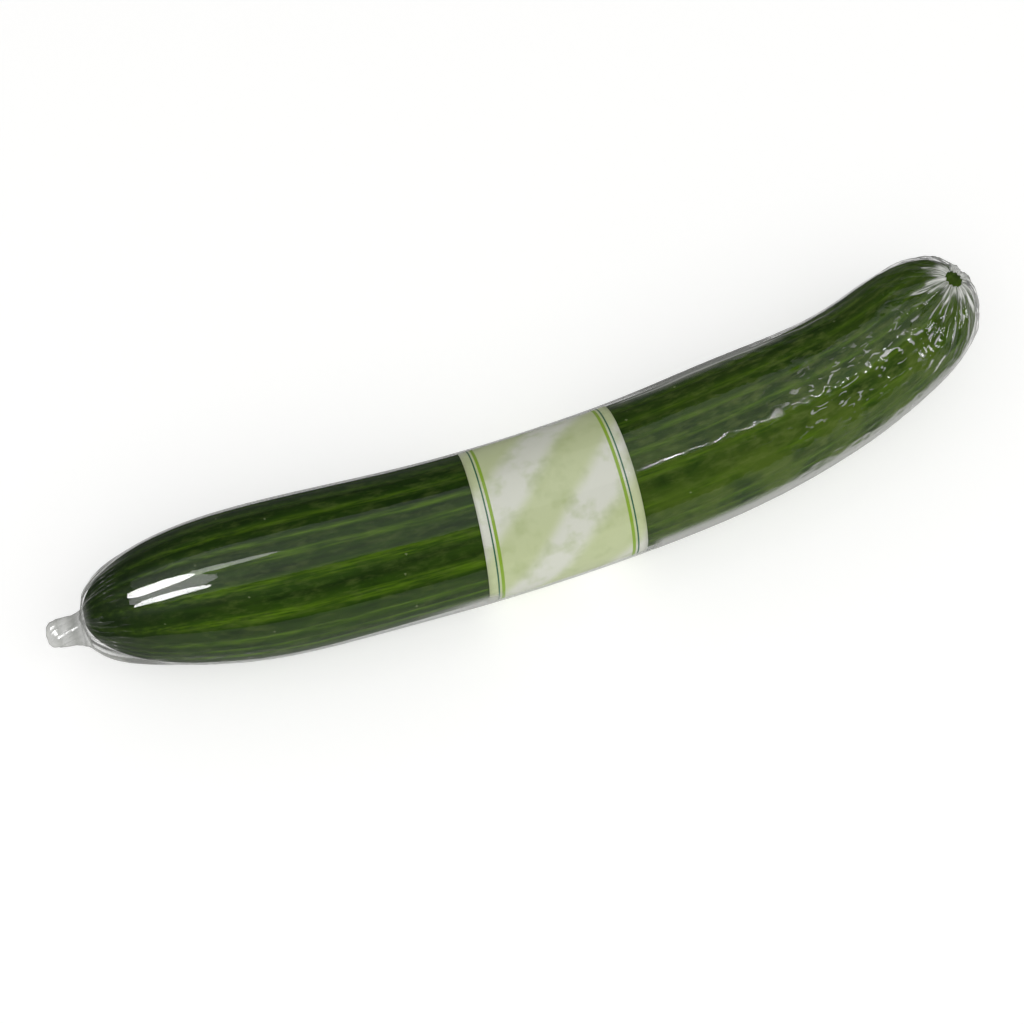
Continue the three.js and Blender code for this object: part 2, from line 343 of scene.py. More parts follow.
band_mesh, row, share = flat_grid("paper_strip", BAND_ROWS, BAND_STEPS)
across = BAND_WIDTH * (row / (BAND_ROWS - 1) - 0.5)
on_strip = share * strip_length
band_angle = LAP_ANGLE + on_strip / (BODY_RADIUS + PAPER_HEIGHT)
lap_start = strip_length - LAP_LENGTH
rise = LAP_RISE * smooth_step(on_strip, lap_start - LAP_SLOPE, lap_start)
band_along = BAND_MIDDLE + across
band_height = fruit_lift(band_along, band_angle) + PAPER_HEIGHT + rise
band_height += PAPER_SLACK * facing(band_angle, NEAR_SIDE)
band_radius = layer_radius(band_along, band_height)
skewed = band_along + band_radius * np.cos(band_angle) * math.tan(BAND_SKEW)
band_points = beside_spine(skewed, band_radius, band_angle, FILM_OUTSIDE - band_height)
attach(band_mesh, "strip", np.stack([across, on_strip, 0 * across], axis=-1))
print(f"strip: {BAND_WIDTH} x {strip_length:.0f} mm, lap of {LAP_LENGTH} mm")

# %% Give the strip its thickness
band = finished_piece(band_mesh, band_points, "paper_band")
bm = bmesh.new()
bm.from_mesh(band_mesh)
bmesh.ops.recalc_face_normals(bm, faces=bm.faces)
bmesh.ops.solidify(bm, geom=bm.faces[:], thickness=PAPER_THICKNESS * MM)
open_edges = sum(edge.is_boundary for edge in bm.edges)
bm.to_mesh(band_mesh)
bm.free()
print("thick paper:", len(band_mesh.polygons), "faces,", open_edges, "open edges")

# %% [markdown]
# ## How the film lies
#
# The film was a wide tube. Hot air shrank it until it gripped the fruit, and its two ends drew
# together: at the stem into a twisted tail, at the blossom into a ruffle round a small hole. It
# stands off the skin where it runs straight to the tail and across the hollow of the bend. These
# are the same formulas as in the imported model, so that the film's outline stays the same.

# %% Slack, pleats and the slide towards the gather
NEAR_SLACK = 0.4
TAIL_SLACK, TAIL_SLACK_LENGTH = 2.0, 30.0
HOLLOW_SIDE, HOLLOW_SLACK, HOLLOW_START, HOLLOW_END = math.radians(25), 0.5, 165.0, 255.0
BLOSSOM_SLACK = 0.9
TIGHT_SIDE, TIGHT_DROP, TIGHT_START, TIGHT_END = math.radians(60), 0.495, 215.0, 265.0
PLEATS, PLEAT_HEIGHT = 12, 0.5
BLOSSOM_PLEAT_LENGTH, STEM_PLEAT_LENGTH = 30.0, 22.0
GATHER_TILT, GATHER_LEAN = math.radians(32), math.radians(15)


def film_slack(along, angle):
    near = NEAR_SLACK * hump(along, 0, NECK_END)
    near += TAIL_SLACK * (1 - smooth_step(along, 0, TAIL_SLACK_LENGTH))
    hollow = HOLLOW_SLACK * hump(along, HOLLOW_START, HOLLOW_END)
    blossom = BLOSSOM_SLACK * smooth_step(along, LENGTH - BLOSSOM_CAP / 2, LENGTH)
    tight = TIGHT_DROP * smooth_step(along, TIGHT_START, TIGHT_END)
    loose = near * facing(angle, NEAR_SIDE) + hollow * facing(angle, HOLLOW_SIDE)
    return loose + blossom - tight * facing(angle, TIGHT_SIDE)


def pleat_height(along, angle):
    ends = smooth_step(along, LENGTH - BLOSSOM_PLEAT_LENGTH, LENGTH)
    ends += 1 - smooth_step(along, 0, STEM_PLEAT_LENGTH)
    return PLEAT_HEIGHT * ends * (0.5 + 0.5 * np.cos(PLEATS * angle))


def slide_to_gather(along, angle):
    """The gather lies above the blossom tip, so places on the cap slide upwards."""
    axial = np.clip((along - BLOSSOM_CAP_START) / BLOSSOM_CAP, 0, 1)
    around = np.sqrt(1 - axial**2)
    tilt = GATHER_TILT * smooth_step(axial, 0, 1)
    side = around * np.cos(angle - GATHER_LEAN)
    up = around * np.sin(angle - GATHER_LEAN)
    axial_tilted = axial * np.cos(tilt) - up * np.sin(tilt)
    up_tilted = axial * np.sin(tilt) + up * np.cos(tilt)
    on_cap = along > BLOSSOM_CAP_START
    slid = np.where(on_cap, BLOSSOM_CAP_START + BLOSSOM_CAP * axial_tilted, along)
    return slid, np.where(on_cap, np.arctan2(up_tilted, side) + GATHER_LEAN, angle)


# %% [markdown]
# ## Creases in the film
#
# Shrunk film is smooth where it is tight, and creased where it had too much width to lose. The
# creases run into the two gathers like the rays of a star, and between them the film puckers
# into small cells. Each kind is a formula that only raises the film, so it never cuts the fruit.

# %% Heights of the creases
RAY_CREASES, RAY_HEIGHT, RAY_SWAY = 17, 0.3, 2.2
FINE_RAY_SHARE, FINE_RAY_SWAY = 0.6, -3.0
RAY_START, RAY_FULL, RAY_FADE, RAY_END = 10, 20, 45, 86
TIP_CREASES, TIP_CREASE_HEIGHT, TIP_SWAY = 26, 0.22, 2.0
TIP_START, TIP_END = -2.0, 16.0
SEAM_CREASE_WIDTH, SEAM_CREASE_HEIGHT, SEAM_SWAY = 3.2, 0.2, 3.0
SEAM_SLANT, SEAM_SIDE, SEAM_NARROWING = 0.35, math.radians(190), 6
SEAM_START, SEAM_END = 2.0, 75.0
PUCKER_CELL, PUCKER_HEIGHT, PUCKER_SHARPNESS = 4.0, 0.2, 2.5
PUCKER_START, PUCKER_FULL = 190.0, 235.0
CALM_START, CALM_LOSS = 285.0, 0.5
WANDER_SIZE = 11.0


def crest(phase):
    """A sharp crest in every half turn of the phase, with a flat valley between crests."""
    return (1 - np.abs(np.sin(phase))) ** 3


def pucker_at(points):
    """Crests along the borders of irregular cells."""
    heights = []
    for point in points / PUCKER_CELL:
        nearest, second = noise.voronoi(Vector(point))[0][:2]
        apart = math.sqrt(second) - math.sqrt(nearest)
        heights.append(max(0.0, 1 - PUCKER_SHARPNESS * apart))
    return np.array(heights)


def ray_crest(angle, wander):
    return crest(RAY_CREASES * angle + RAY_SWAY * wander)


def tip_crest(angle, wander):
    return crest(TIP_CREASES * angle + TIP_SWAY * wander)


def tip_zone(along):
    return hump(along, TIP_START, TIP_END)


def seam_crest(along, angle, wander):
    """Crests that slant across the seam of the tube."""
    slanted = SEAM_SLANT * along + BODY_RADIUS * angle
    return crest(np.pi * slanted / SEAM_CREASE_WIDTH + SEAM_SWAY * wander)


def seam_zone(along, angle):
    return hump(along, SEAM_START, SEAM_END) * facing(angle, SEAM_SIDE) ** SEAM_NARROWING


def creases(along, angle, polar, wander):
    """Extra height of the film in millimetres; polar is the angle from the gather in degrees."""
    rays = ray_crest(angle, wander)
    rays += FINE_RAY_SHARE * crest(2 * RAY_CREASES * angle + FINE_RAY_SWAY * wander)
    rays *= smooth_step(polar, RAY_START, RAY_FULL) * (1 - smooth_step(polar, RAY_FADE, RAY_END))
    tip = tip_crest(angle, wander) * tip_zone(along)
    seam = seam_crest(along, angle, wander) * seam_zone(along, angle)
    return RAY_HEIGHT * rays + TIP_CREASE_HEIGHT * tip + SEAM_CREASE_HEIGHT * seam


def puckers(along, straight_points):
    zone = smooth_step(along, PUCKER_START, PUCKER_FULL)
    zone *= 1 - CALM_LOSS * smooth_step(along, CALM_START, LENGTH)
    heights = np.zeros_like(along)
    inside = np.flatnonzero(zone > 0)
    heights[inside] = pucker_at(straight_points[inside]) * zone[inside]
    return PUCKER_HEIGHT * heights


# %% [markdown]
# ## The film's mesh
#
# One closed body holds the film: it starts at the end of the tail, runs along the outside to the
# ruffle, turns in at the hole, and comes back along the inside. Most rings lie on the outside and
# at the two gathers. The inside needs few, because nothing shows there but a second reflection.

# %% Rows of the film, from the tail's end to the inner end
TAIL_PROFILE = np.array([
    (-12.6, 0.0),
    (-12.3, 2.4),
    (-11.0, 4.1),
    (-8.8, 4.7),
    (-6.2, 4.5),
    (-4.0, 4.4),
    (-2.3, 4.8),
    (-0.9, 5.5),
])
TAIL_DROP, TAIL_DROP_SIDE = 3.4, math.radians(215)
RUFFLE_RISE = np.array([(30.0, 0.0), (24.0, 0.1), (19.0, 0.3), (14.5, 0.5), (11.0, 0.6), (8.5, 0.4)])
MOUTH_POLAR, INNER_END = 7.0, -1.6
FILM_SEGMENTS = 288
TAIL_RINGS = 26
tail_stations = np.linspace(TAIL_PROFILE[0, 0], TAIL_PROFILE[-1, 0], TAIL_RINGS + 1)
outer_stations = np.concatenate([
    stem_stations(7, 88, 62),
    np.linspace(STEM_CAP, 195, 34),
    np.linspace(196, BLOSSOM_CAP_START, 66),
    blossom_stations(88, MOUTH_POLAR, 64),
])
inner_stations = np.concatenate([
    blossom_stations(MOUTH_POLAR, 88, 26),
    np.linspace(BLOSSOM_CAP_START, STEM_CAP, 20),
    stem_stations(88, 7, 18),
])
film_stations = np.concatenate([tail_stations, outer_stations, inner_stations, [INNER_END]])
film_mesh, row, turn = flat_grid("film", len(film_stations), FILM_SEGMENTS)
film_angle = 2 * np.pi * turn
film_row_along = film_stations[row]
in_tail = row < len(tail_stations)
on_outside = row < len(tail_stations) + len(outer_stations)
at_inner_end = row == len(film_stations) - 1
print("film rows:", len(film_stations))

# %% Place the film's wall
polar = np.degrees(np.arccos(np.clip((film_row_along - BLOSSOM_CAP_START) / BLOSSOM_CAP, 0, 1)))
slid, slid_angle = slide_to_gather(film_row_along, film_angle)
film_straight = round_line(film_row_along, layer_radius(film_row_along, FILM_OUTSIDE), film_angle)
raised = np.interp(-polar, -RUFFLE_RISE[:, 0], RUFFLE_RISE[:, 1])
wander = noise_at(film_straight / WANDER_SIZE)
crease = creases(film_row_along, film_angle, polar, wander)
pucker = puckers(film_row_along, film_straight)
film_height = np.where(on_outside, FILM_OUTSIDE + crease + pucker, FILM_INSIDE)
film_height += raised + film_slack(slid, slid_angle) + pleat_height(film_row_along, film_angle)
axial = np.maximum(0, (slid - BLOSSOM_CAP_START) / BLOSSOM_CAP)
film_along = slid + film_height * axial
film_radius = np.where(at_inner_end, 0, layer_radius(film_along, film_height))
wall_floor = np.where(on_outside, 0, FILM_OUTSIDE - FILM_INSIDE)
film_points = beside_spine(film_along, film_radius, slid_angle, wall_floor)

# %% [markdown]
# ## The tail
#
# At the stem end the rest of the tube was twisted shut and sealed. It is a short lumpy stub with
# folds that wind round it, and it sits a little below the middle of the tip. A cloth simulation
# could twist it, but waves round its rings are enough for a stub of a dozen millimetres.

# %% Place the tail's rings
TAIL_LUMPS, TAIL_LUMP_SHARE, TAIL_LUMP_WINDING = 4, 0.08, 0.5
TAIL_FOLDS, TAIL_FOLD_SHARE, TAIL_FOLD_WINDING = 11, 0.06, 0.12
TAIL_FOLDS_START, TAIL_FOLDS_FULL = 1.0, 4.0
tail_along = film_row_along[in_tail]
tail_angle = film_angle[in_tail]
tail_radius = np.interp(tail_along, TAIL_PROFILE[:, 0], TAIL_PROFILE[:, 1])
winding = tail_angle + TAIL_FOLD_WINDING * tail_along
tail_folds = crest(TAIL_FOLDS * winding / 2)
tail_folds *= smooth_step(tail_radius, TAIL_FOLDS_START, TAIL_FOLDS_FULL)
lumpy = 1 + TAIL_LUMP_SHARE * np.cos(TAIL_LUMPS * tail_angle + TAIL_LUMP_WINDING * tail_along)
lumpy -= TAIL_FOLD_SHARE * tail_folds
no_radius = np.zeros_like(tail_along)
drop = beside_spine(tail_along, no_radius + TAIL_DROP, no_radius + TAIL_DROP_SIDE, 0)
drop -= beside_spine(tail_along, no_radius, tail_angle, 0)
film_points[in_tail] = beside_spine(tail_along, tail_radius * lumpy, tail_angle, 0) + drop
print(f"tail: {-TAIL_PROFILE[0, 0]} mm long, {2 * tail_radius.max():.1f} mm thick")

# %% [markdown]
# ## Where the film turns milky
#
# Film that lies in many layers scatters light and looks grey white: in the tail, round the stem
# tip and in the star of folds round the hole. The shares are stored on the mesh, one number for
# each vertex, and the material breaks them up into finer streaks and lines. Among them are painted
# glints, which are white dashes and crests on the creases, and a near edge that is painted paler.

# %% The star of folds round the hole
# Each arm has its place round the hole and its reach from the hole's middle, both in degrees.
STAR_ARMS = [(20, 26), (75, 36), (125, 27), (170, 20), (200, 31), (255, 24), (310, 26)]
STAR_CORE, STAR_CUSP = 11.0, 0.2
STAR_RAGGED, RAGGED_ROUND, RAGGED_LENGTH = 6.0, 6.0, 9.0
STAR_SOLID, STAR_FADE = 4.0, 5.0
gather_ring = np.stack([np.cos(film_angle), np.sin(film_angle)])


def ray_noise(times_round, length):
    """Noise that is stretched along the rays of the gather."""
    return noise_at(np.stack([*(times_round * gather_ring), polar / length], axis=-1))


star_reach = np.full_like(film_angle, STAR_CORE)
for arm, reach in STAR_ARMS:
    aside = np.abs(np.angle(np.exp(1j * (film_angle - math.radians(arm)))))
    arm_reach = STAR_CORE + (reach - STAR_CORE) * np.exp(-aside / STAR_CUSP)
    star_reach = np.maximum(star_reach, arm_reach)
star_reach += STAR_RAGGED * ray_noise(RAGGED_ROUND, RAGGED_LENGTH)
star = (1 - smooth_step(polar, star_reach - STAR_SOLID, star_reach + STAR_FADE)) * on_outside
print(f"star: {np.mean(star[on_outside & (polar < 40)]):.2f} milky within 40 degrees")

# %% The fold along the hollow and the collar at the stem tip
FOLD_SIDE, FOLD_WIDTH, FOLD_SWAY, FOLD_MILK = math.radians(44), 0.4, 0.04, 0.75
FOLD_START, FOLD_FULL, FOLD_FADE, FOLD_END = 174, 180, 240, 275
TIP_RING_MILK, TIP_RING_END = 0.35, 3
COLLAR_MILK, COLLAR_FADE, COLLAR_END = 0.4, 2, 14
TIP_LINE_MILK_AND_GLINT, SEAM_LINE_MILK_AND_GLINT, LINE_PATCH, LINE_GAPS = 0.8, 0.9, 5.0, (-0.05, 0.3)
beside_fold = (film_angle - FOLD_SIDE - FOLD_SWAY * wander) * BODY_RADIUS
fold = FOLD_MILK * np.exp(-((beside_fold / FOLD_WIDTH) ** 2))
fold *= smooth_step(film_row_along, FOLD_START, FOLD_FULL)
fold *= 1 - smooth_step(film_row_along, FOLD_FADE, FOLD_END)
collar = facing(film_angle, NEAR_SIDE) ** 2 * (1 - smooth_step(film_row_along, COLLAR_FADE, COLLAR_END))
collar = COLLAR_MILK * collar + TIP_RING_MILK * (1 - smooth_step(film_row_along, 0, TIP_RING_END))
# The white lines on the crease crests at the stem tip and along the seam are partly the haze of creased
# film and partly painted glints.
tip_lines = tip_crest(film_angle, wander) ** 2 * tip_zone(film_row_along)
seam_lines = seam_crest(film_row_along, film_angle, wander) ** 2 * seam_zone(film_row_along, film_angle)
patchy = smooth_step(noise_at(film_straight / LINE_PATCH), *LINE_GAPS)
collar += patchy * (TIP_LINE_MILK_AND_GLINT * tip_lines + SEAM_LINE_MILK_AND_GLINT * seam_lines)
print(f"collar: {np.mean(collar[film_row_along < TIP_END]):.2f} milky at the stem tip")

# %% Painted glints: white dashes that run into the gather, and the zone of white crests on the puckers
# Both are painted glints: white marks where the lamps would sparkle on the creases, on the side that
# faces them.
DASH_SIDE, DASH_FAR_SHARE, DASH_PAINTED_GLINT = math.radians(145), 0.1, 0.95
DASH_START, DASH_FULL, DASH_FADE, DASH_END = 12, 20, 76, 89
DASHES_ROUND, DASH_LENGTH, DASH_GAPS, DASH_EDGE = 5.0, 16.0, (0.02, 0.2), (0.15, 0.6)
SPARK_SIDE, SPARK_NARROWING, SPARK_PAINTED_GLINT = math.radians(115), 5, 0.8
SPARK_START, SPARK_FULL, SPARK_FADE, SPARK_END = 205, 240, 85, 70
dash_zone = smooth_step(polar, DASH_START, DASH_FULL) * (1 - smooth_step(polar, DASH_FADE, DASH_END))
dash_zone *= DASH_FAR_SHARE + (1 - DASH_FAR_SHARE) * facing(film_angle, DASH_SIDE)
painted_dashes = DASH_PAINTED_GLINT * dash_zone * smooth_step(ray_crest(film_angle, wander), *DASH_EDGE)
painted_dashes *= smooth_step(ray_noise(DASHES_ROUND, DASH_LENGTH), *DASH_GAPS)
painted_sparks = SPARK_PAINTED_GLINT * facing(film_angle, SPARK_SIDE) ** SPARK_NARROWING
painted_sparks *= smooth_step(film_row_along, SPARK_START, SPARK_FULL)
painted_sparks *= (1 - smooth_step(polar, SPARK_FADE, SPARK_END)) * on_outside
print(f"creased: {100 * np.mean(painted_sparks[on_outside]):.0f} % of the outside")

# %% Store the shares and finish the film
# Past the stem half the near edge is painted paler, standing in for the bright floor that shines
# through it.
NEAR_WHITE, NEAR_WHITE_START, NEAR_WHITE_FULL = 0.5, 80, 120
TAIL_MILK, TAIL_MILK_VARIES, TAIL_MILK_SIZE, TAIL_MILK_RANGE = 0.8, 0.3, 2.5, (0.6, 0.95)
TAIL_END_WHITE, TAIL_NECK_WHITE = 0.75, 0.1
LOOSE_START, LOOSE_FULL = 0.65, 1.15
CRINKLE_START, CRINKLE_FULL = 150, 215
tail_milk = TAIL_MILK + TAIL_MILK_VARIES * noise_at(film_straight / TAIL_MILK_SIZE)
tail_white = np.interp(film_row_along, TAIL_PROFILE[[0, -1], 0], [TAIL_END_WHITE, TAIL_NECK_WHITE])
# The milky attribute holds the milky film together with the painted glint dashes.
crests_and_glints = np.maximum(np.maximum(fold, collar), painted_dashes) * on_outside
near_painted_light = NEAR_WHITE * facing(film_angle, NEAR_SIDE)
near_painted_light *= smooth_step(film_row_along, NEAR_WHITE_START, NEAR_WHITE_FULL)
not_grey = np.maximum(np.maximum(star, crests_and_glints), near_painted_light)
gap = film_height - fruit_lift(slid, slid_angle)
over_paper = np.abs(film_row_along - BAND_MIDDLE) < BAND_WIDTH / 2
loose = np.where(over_paper, 0, smooth_step(gap, LOOSE_START, LOOSE_FULL))
attach(film_mesh, "milky", np.where(in_tail, np.clip(tail_milk, *TAIL_MILK_RANGE), crests_and_glints))
attach(film_mesh, "white", np.where(in_tail, tail_white, not_grey))
attach(film_mesh, "star", np.where(in_tail, 0, star))
attach(film_mesh, "painted_glints", np.where(in_tail, 0, painted_sparks))
attach(film_mesh, "rays", np.stack([*gather_ring, polar], axis=-1))
attach(film_mesh, "loose", np.where(in_tail, 0, loose))
attach(film_mesh, "pucker", smooth_step(film_row_along, CRINKLE_START, CRINKLE_FULL))
attach(film_mesh, "straight", film_straight)
film = finished_piece(film_mesh, film_points, "film_wrap")

# %% [markdown]
# ## Materials: two helpers
#
# Every surface is made of shader nodes. One function adds a node with its settings and links, and
# one turns a colour as it is picked on a screen into the linear light that shaders use.

# %% Node and colour helpers
def linear(hex_colour):
    """An sRGB hex colour as linear red, green, blue and full alpha."""
    values = [int(hex_colour[start:start + 2], 16) / 255 for start in (1, 3, 5)]
    light = [v / 12.92 if v <= 0.04045 else ((v + 0.055) / 1.055) ** 2.4 for v in values]
    return (*light, 1.0)


def named(sockets, name):
    """The socket with this identifier or name; a mix node's sockets differ only in the first."""
    return next(socket for socket in sockets if name in (socket.identifier, socket.name))


def add_node(tree, kind, output=None, inputs=(), **settings):
    """Adds a shader node, gives each input a value or an output to link, and returns an output."""
    node = tree.nodes.new("ShaderNode" + kind)
    for name, value in settings.items():
        setattr(node, name, value)
    for name, value in dict(inputs).items():
        if isinstance(value, bpy.types.NodeSocket):
            tree.links.new(value, named(node.inputs, name))
        else:
            named(node.inputs, name).default_value = value
    return named(node.outputs, output) if output else node


def new_material(name):
    material = bpy.data.materials.new(name)
    material.use_nodes = True
    material.node_tree.nodes.clear()
    return material, material.node_tree


# %% [markdown]
# ## Cucumber skin
#
# The skin is a thin waxy cuticle over green cells. The ribs are dark, the furrows between them
# carry paler, yellowish streaks, and everything is mottled with fine flecks along the fruit. A
# picture of skin would be stretched at the two tips. Noise in the straightened place of each
# vertex is not, and it can be drawn out along the fruit as the real streaks are.

# %% Skin patterns
# Grown skin gives the eye a deep, uneven green. Its own sheen is weak, because the film over it
# mirrors the lamps. For each pattern: length along the fruit and width in mm, detail, roughness.
SKIN_PATTERNS = {
    "streaks": (30.0, 2.6, 5.0, 0.6),
    "fine streaks": (14.0, 0.9, 3.0, 0.6),
    "mottle": (6.0, 2.2, 3.0, 0.65),
    "clouds": (11.0, 11.0, 4.0, 0.5),
}
skin, tree = new_material("waxy_cucumber_skin")
place = add_node(tree, "Attribute", "Vector", attribute_name="straight")
place_parts = add_node(tree, "SeparateXYZ", None, {"Vector": place}).outputs
in_furrow = add_node(tree, "Attribute", "Fac", attribute_name="furrow")
on_wart = add_node(tree, "Attribute", "Fac", attribute_name="wart")
patterns = {}
for name, (length, width, detail, roughness) in SKIN_PATTERNS.items():
    stretched = add_node(tree, "Mapping", "Vector", {
        "Vector": place, "Scale": (1 / length, 1 / width, 1 / width),
    })
    patterns[name] = add_node(tree, "TexNoise", "Fac", {
        "Vector": stretched, "Scale": 1.0, "Detail": detail, "Roughness": roughness,
    })
print(skin.name, "patterns:", list(patterns))

# %% Ribs, and paler furrows that the fine streaks break
rib_share = add_node(tree, "MapRange", "Result", {
    "Value": patterns["streaks"], "From Min": 0.36, "From Max": 0.66,
})
slope_share = add_node(tree, "MapRange", "Result", {
    "Value": in_furrow, "From Max": 0.9, "To Max": 0.55,
}, interpolation_type="SMOOTHSTEP")
furrow_line = add_node(tree, "MapRange", "Result", {
    "Value": in_furrow, "From Min": 0.2, "From Max": 1.0,
}, interpolation_type="SMOOTHSTEP")
unbroken = add_node(tree, "MapRange", "Result", {
    "Value": patterns["fine streaks"], "From Min": 0.4, "From Max": 0.66,
})
streak_share = add_node(tree, "Math", "Value", {
    "Value": furrow_line, "Value_001": unbroken,
}, operation="MULTIPLY")
print(skin.name, "ribs and furrows")

# %% A far side darkened with painted shade, and paler clouds on the near flank towards the blossom end
# Painted shade: the skin darkens towards the far side, which faces away from the fill lamp.
painted_shade_far_side = add_node(tree, "MapRange", "Result", {
    "Value": place_parts["Y"], "From Min": -2.0, "From Max": 18.0, "To Max": 0.6,
}, interpolation_type="SMOOTHSTEP")
towards_blossom = add_node(tree, "MapRange", "Result", {
    "Value": place_parts["X"], "From Min": 120.0, "From Max": 215.0, "To Min": 0.15, "To Max": 1.0,
}, interpolation_type="SMOOTHSTEP")
cloudy = add_node(tree, "MapRange", "Result", {
    "Value": patterns["clouds"], "From Min": 0.3, "From Max": 0.6,
})
pale_flank = add_node(tree, "MapRange", "Result", {
    "Value": place_parts["Y"], "From Min": 0.0, "From Max": -18.0, "To Min": 0.3, "To Max": 1.0,
}, interpolation_type="SMOOTHSTEP")
pale_patches = add_node(tree, "Math", "Value", {
    "Value": towards_blossom, "Value_001": cloudy,
}, operation="MULTIPLY")
pale_share = add_node(tree, "Math", "Value", {
    "Value": pale_patches, "Value_001": pale_flank,
}, operation="MULTIPLY")
print(skin.name, "sides")

# %% Flecks, warts and the two ends
flecks = add_node(tree, "MapRange", "Result", {
    "Value": patterns["mottle"], "From Min": 0.48, "From Max": 0.74,
})
fleck_strength = add_node(tree, "MapRange", "Result", {
    "Value": place_parts["X"], "From Min": 150.0, "From Max": 230.0, "To Min": 0.35, "To Max": 0.7,
}, interpolation_type="SMOOTHSTEP")
fleck_share = add_node(tree, "Math", "Value", {
    "Value": flecks, "Value_001": fleck_strength,
}, operation="MULTIPLY")
wart_share = add_node(tree, "MapRange", "Result", {
    "Value": on_wart, "From Min": 0.6, "From Max": 1.0, "To Max": 0.6,
})
stem_share = add_node(tree, "MapRange", "Result", {
    "Value": place_parts["X"], "From Min": 2.0, "From Max": 48.0, "To Min": 0.75, "To Max": 0.0,
}, interpolation_type="SMOOTHSTEP")
tip_share = add_node(tree, "MapRange", "Result", {
    "Value": place_parts["X"], "From Min": LENGTH - 40, "From Max": LENGTH, "To Max": 0.6,
}, interpolation_type="SMOOTHSTEP")
print(skin.name, "flecks, warts and ends")

# %% Lay the greens over each other
RIB_DARK = linear("#162e02")
SKIN_LAYERS = [
    (rib_share, linear("#294607")),
    (slope_share, linear("#34530a")),
    (streak_share, linear("#587a10")),
    # painted shade on the far side
    (painted_shade_far_side, RIB_DARK),
    (pale_share, linear("#4f651e")),
    (fleck_share, linear("#647536")),
    (wart_share, linear("#a9b387")),
    (stem_share, linear("#1b2a12")),
    (tip_share, linear("#3c5216")),
]
skin_colour = RIB_DARK
for share, colour in SKIN_LAYERS:
    skin_colour = add_node(tree, "Mix", "Result_Color", {
        "Factor_Float": share, "A_Color": skin_colour, "B_Color": colour,
    }, data_type="RGBA")
print(skin.name, len(SKIN_LAYERS), "layers")

# %% Pores and the waxy gloss
# Real pores are a few hundredths of a millimetre wide. They are drawn ten times coarser to show.
PORE_SIZE, PORE_DEPTH = 0.35, 0.05
pores = add_node(tree, "TexNoise", "Fac", {"Vector": place, "Scale": 1 / PORE_SIZE, "Detail": 2.0})
skin_bump = add_node(tree, "Bump", "Normal", {
    "Height": pores, "Strength": 0.25, "Distance": PORE_DEPTH * MM,
})
skin_roughness = add_node(tree, "MapRange", "Result", {
    "Value": patterns["mottle"], "To Min": 0.4, "To Max": 0.6,
})
skin_shader = add_node(tree, "BsdfPrincipled", "BSDF", {
    "Base Color": skin_colour, "Roughness": skin_roughness, "IOR": 1.45, "Normal": skin_bump,
    "Specular IOR Level": 0.04,
})
add_node(tree, "OutputMaterial", None, {"Surface": skin_shader})
fruit.data.materials.append(skin)
print(skin.name, len(tree.nodes), "nodes")

# %% [markdown]
# ## Printed paper
#
# The band is coated paper: smooth, with a satin sheen, printed in soft greens. The print here is
# a plain wash of slanting waves, with a thin dark line and a lime one along each edge. It is worked
# out on the flat strip, as a printer would lay it out, so it runs round the fruit without a break.

# %% The print on the flat strip
WAVE_PITCH, WASH_SIZE = 21.0, 9.0
WAVES_PER_UNIT = 2 * math.pi / 20
LINE_INSET, LINE_HALF, LIME_INSET, LIME_HALF = 3.0, 0.25, 4.4, 0.5

paper, tree = new_material("coated_printed_paper")
on_paper = add_node(tree, "Attribute", "Vector", attribute_name="strip")
waves = add_node(tree, "TexWave", "Fac", {
    "Vector": on_paper, "Scale": WAVES_PER_UNIT / WAVE_PITCH, "Distortion": 4.0, "Detail": 3.0,
    "Detail Scale": 0.6,
}, bands_direction="DIAGONAL")
wash = add_node(tree, "TexNoise", "Fac", {
    "Vector": on_paper, "Scale": 1 / WASH_SIZE, "Detail": 5.0, "Roughness": 0.6,
})
wave_share = add_node(tree, "MapRange", "Result", {
    "Value": waves, "From Min": 0.15, "From Max": 0.8,
}, interpolation_type="SMOOTHSTEP")
wash_share = add_node(tree, "MapRange", "Result", {
    "Value": wash, "From Min": 0.48, "From Max": 0.72, "To Max": 0.7,
})
from_middle = add_node(tree, "Math", "Value", {
    "Value": add_node(tree, "SeparateXYZ", "X", {"Vector": on_paper}),
}, operation="ABSOLUTE")
line_share = add_node(tree, "Math", "Value", {
    "Value": from_middle, "Value_001": BAND_WIDTH / 2 - LINE_INSET, "Value_002": LINE_HALF,
}, operation="COMPARE")
lime_share = add_node(tree, "Math", "Value", {
    "Value": from_middle, "Value_001": BAND_WIDTH / 2 - LIME_INSET, "Value_002": LIME_HALF,
}, operation="COMPARE")
printed = linear("#e4e6d8")
for share, ink in (
    (wave_share, linear("#ccd6a5")),
    (wash_share, linear("#b2c182")),
    (line_share, linear("#2b6a49")),
    (lime_share, linear("#8fb31d")),
):
    printed = add_node(tree, "Mix", "Result_Color", {
        "Factor_Float": share, "A_Color": printed, "B_Color": ink,
    }, data_type="RGBA")
print(paper.name, "print")

